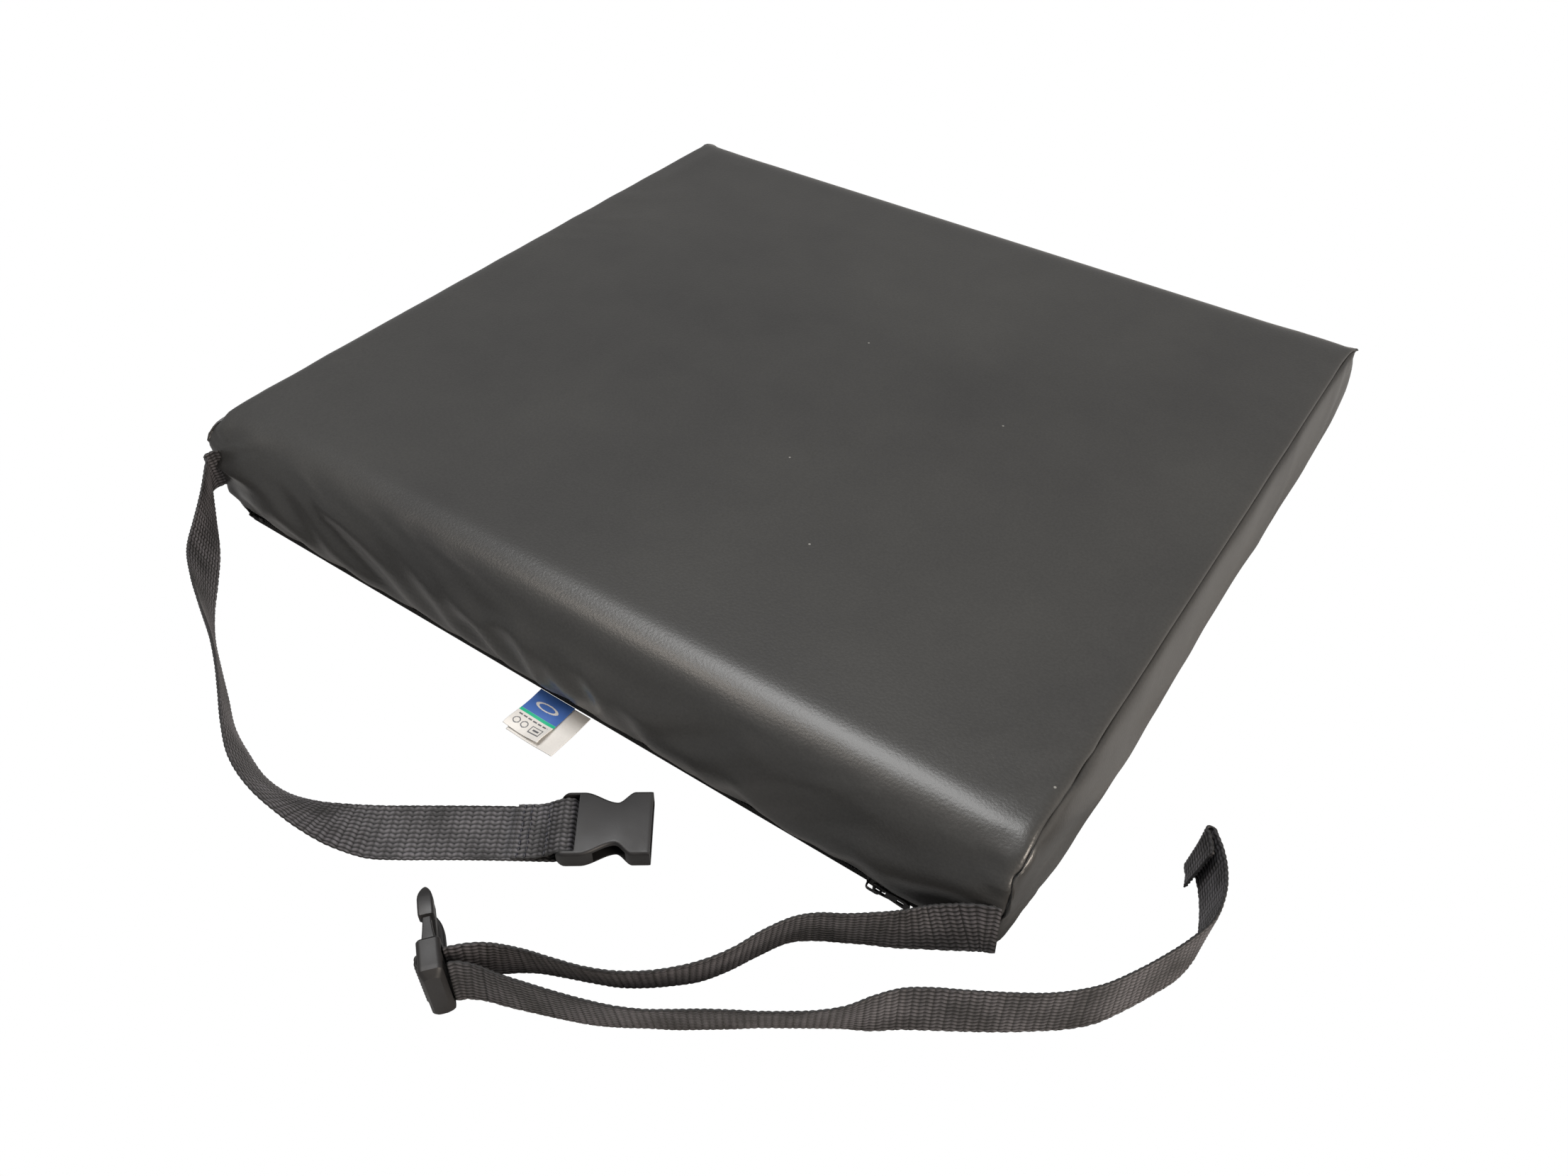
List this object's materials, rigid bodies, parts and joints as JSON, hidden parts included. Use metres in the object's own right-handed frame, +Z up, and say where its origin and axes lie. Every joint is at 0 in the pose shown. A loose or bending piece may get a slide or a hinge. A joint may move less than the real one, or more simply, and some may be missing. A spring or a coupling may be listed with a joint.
{
  "type": "strapped foam seat cushion",
  "caption": "Flat square foam seat cushion in a zipped stretch cover, with webbing straps and a side-release buckle at its rear corners.",
  "frame": {"origin": "middle of the underside of the cushion, on the ground", "axes": "+Z up, +X to the right as seen from the strapped rear face, -Y out of the rear face that carries the zip, label and straps"},
  "size_m": [0.4866, 0.5319, 0.0525],
  "materials": {
    "cover_cloth": "fine woven polyurethane-coated stretch cloth, soft satin",
    "base_cloth": "matte woven cloth",
    "foam": "open-cell flexible foam",
    "zip_nylon": "nylon coil and woven tape",
    "zip_metal": "black lacquered die casting",
    "webbing": "ribbed polypropylene webbing",
    "buckle_plastic": "moulded acetal, fine matte",
    "label_satin": "printed satin tape"
  },
  "bodies": {
    "cushion": {"foam_core": "foam", "cover_wrap": "cover_cloth", "cover_base": "base_cloth", "gusset_left": "cover_cloth", "gusset_right": "cover_cloth", "zip_tape_lower": "zip_nylon", "zip_tape_upper": "zip_nylon", "zip_teeth_lower": "zip_nylon", "zip_teeth_upper": "zip_nylon", "zip_stop_left": "zip_metal", "zip_stop_right": "zip_metal", "strap_left": "webbing", "strap_left_fold": "webbing", "buckle_socket": "buckle_plastic", "strap_right": "webbing", "strap_turn": "webbing", "strap_tail": "webbing", "strap_tail_hem": "webbing", "buckle_plug_frame": "buckle_plastic", "label_front": "label_satin", "label_back": "label_satin"},
    "slider": {"zip_slider": "zip_metal"},
    "pull_tab": {"zip_pull_tab": "zip_metal"},
    "latch_upper": {"latch_arm_upper": "buckle_plastic"},
    "latch_lower": {"latch_arm_lower": "buckle_plastic"}
  },
  "joints": [
    {"name": "zip_slide", "type": "slide", "parent": "cushion", "child": "slider", "axis": [1, 0, 0], "range_m": [-0.343, 0]},
    {"name": "pull_tab_flip", "type": "hinge", "parent": "slider", "child": "pull_tab", "pos_m": [0.1632, -0.2042, 0.00495], "axis": [0, 0, -1], "range_deg": [0, 170]},
    {"name": "latch_upper_flex", "type": "hinge", "parent": "cushion", "child": "latch_upper", "pos_m": [0.05913, -0.31874, 0.0253], "axis": [-0.6334, -0.7738, 0], "range_deg": [0, 8], "stiffness_Nm_per_rad": 0.8},
    {"name": "latch_lower_flex", "type": "hinge", "parent": "cushion", "child": "latch_lower", "pos_m": [0.05913, -0.31874, 0.0035], "axis": [0.6334, 0.7738, 0], "range_deg": [0, 8], "stiffness_Nm_per_rad": 0.8}
  ],
  "couplings": [
    {"joint": "latch_lower_flex", "follows": "latch_upper_flex", "ratio": 1}
  ]
}
